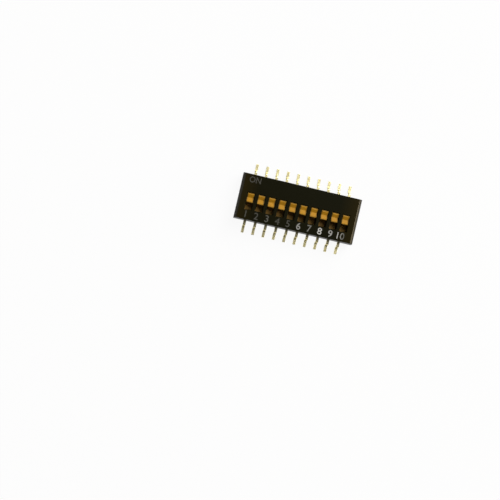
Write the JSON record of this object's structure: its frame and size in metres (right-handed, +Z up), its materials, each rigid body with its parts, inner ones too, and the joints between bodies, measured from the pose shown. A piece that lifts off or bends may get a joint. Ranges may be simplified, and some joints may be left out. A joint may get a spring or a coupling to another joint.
{
  "type": "dip switch",
  "caption": "Low black slide switch block with a row of orange levers in slots and gull-wing terminals along both sides, for surface mounting on a circuit board.",
  "frame": {"origin": "centre of the outline, on the plane of the board: the undersides of the terminal feet", "axes": "+X along the row of levers from number 1 to number 10, +Y towards the ON side, +Z up from the board"},
  "size_m": [0.0142, 0.0084, 0.0025],
  "materials": {
    "cover_plastic": "moulded black, fine satin",
    "base_plastic": "moulded black, fine matt",
    "orange_plastic": "moulded orange, satin",
    "gold_plate": "gold plate over brass strip",
    "contact_gold": "gold plate over spring copper alloy"
  },
  "bodies": {
    "housing": {"base": "base_plastic", "cover": "cover_plastic", "on_terminal_1": "gold_plate", "on_terminal_2": "gold_plate", "on_terminal_3": "gold_plate", "on_terminal_4": "gold_plate", "on_terminal_5": "gold_plate", "on_terminal_6": "gold_plate", "on_terminal_7": "gold_plate", "on_terminal_8": "gold_plate", "on_terminal_9": "gold_plate", "on_terminal_10": "gold_plate", "number_terminal_1": "gold_plate", "number_terminal_2": "gold_plate", "number_terminal_3": "gold_plate", "number_terminal_4": "gold_plate", "number_terminal_5": "gold_plate", "number_terminal_6": "gold_plate", "number_terminal_7": "gold_plate", "number_terminal_8": "gold_plate", "number_terminal_9": "gold_plate", "number_terminal_10": "gold_plate"},
    "lever_1": {"slider_1": "orange_plastic", "moving_contact_1": "contact_gold"},
    "lever_2": {"slider_2": "orange_plastic", "moving_contact_2": "contact_gold"},
    "lever_3": {"slider_3": "orange_plastic", "moving_contact_3": "contact_gold"},
    "lever_4": {"slider_4": "orange_plastic", "moving_contact_4": "contact_gold"},
    "lever_5": {"slider_5": "orange_plastic", "moving_contact_5": "contact_gold"},
    "lever_6": {"slider_6": "orange_plastic", "moving_contact_6": "contact_gold"},
    "lever_7": {"slider_7": "orange_plastic", "moving_contact_7": "contact_gold"},
    "lever_8": {"slider_8": "orange_plastic", "moving_contact_8": "contact_gold"},
    "lever_9": {"slider_9": "orange_plastic", "moving_contact_9": "contact_gold"},
    "lever_10": {"slider_10": "orange_plastic", "moving_contact_10": "contact_gold"}
  },
  "joints": [
    {"name": "lever_1_slide", "type": "slide", "parent": "housing", "child": "lever_1", "axis": [0, -1, 0], "range_m": [0, 0.00082]},
    {"name": "lever_2_slide", "type": "slide", "parent": "housing", "child": "lever_2", "axis": [0, -1, 0], "range_m": [0, 0.00082]},
    {"name": "lever_3_slide", "type": "slide", "parent": "housing", "child": "lever_3", "axis": [0, -1, 0], "range_m": [0, 0.00082]},
    {"name": "lever_4_slide", "type": "slide", "parent": "housing", "child": "lever_4", "axis": [0, -1, 0], "range_m": [0, 0.00082]},
    {"name": "lever_5_slide", "type": "slide", "parent": "housing", "child": "lever_5", "axis": [0, -1, 0], "range_m": [0, 0.00082]},
    {"name": "lever_6_slide", "type": "slide", "parent": "housing", "child": "lever_6", "axis": [0, -1, 0], "range_m": [0, 0.00082]},
    {"name": "lever_7_slide", "type": "slide", "parent": "housing", "child": "lever_7", "axis": [0, -1, 0], "range_m": [0, 0.00082]},
    {"name": "lever_8_slide", "type": "slide", "parent": "housing", "child": "lever_8", "axis": [0, -1, 0], "range_m": [0, 0.00082]},
    {"name": "lever_9_slide", "type": "slide", "parent": "housing", "child": "lever_9", "axis": [0, -1, 0], "range_m": [0, 0.00082]},
    {"name": "lever_10_slide", "type": "slide", "parent": "housing", "child": "lever_10", "axis": [0, -1, 0], "range_m": [0, 0.00082]}
  ]
}
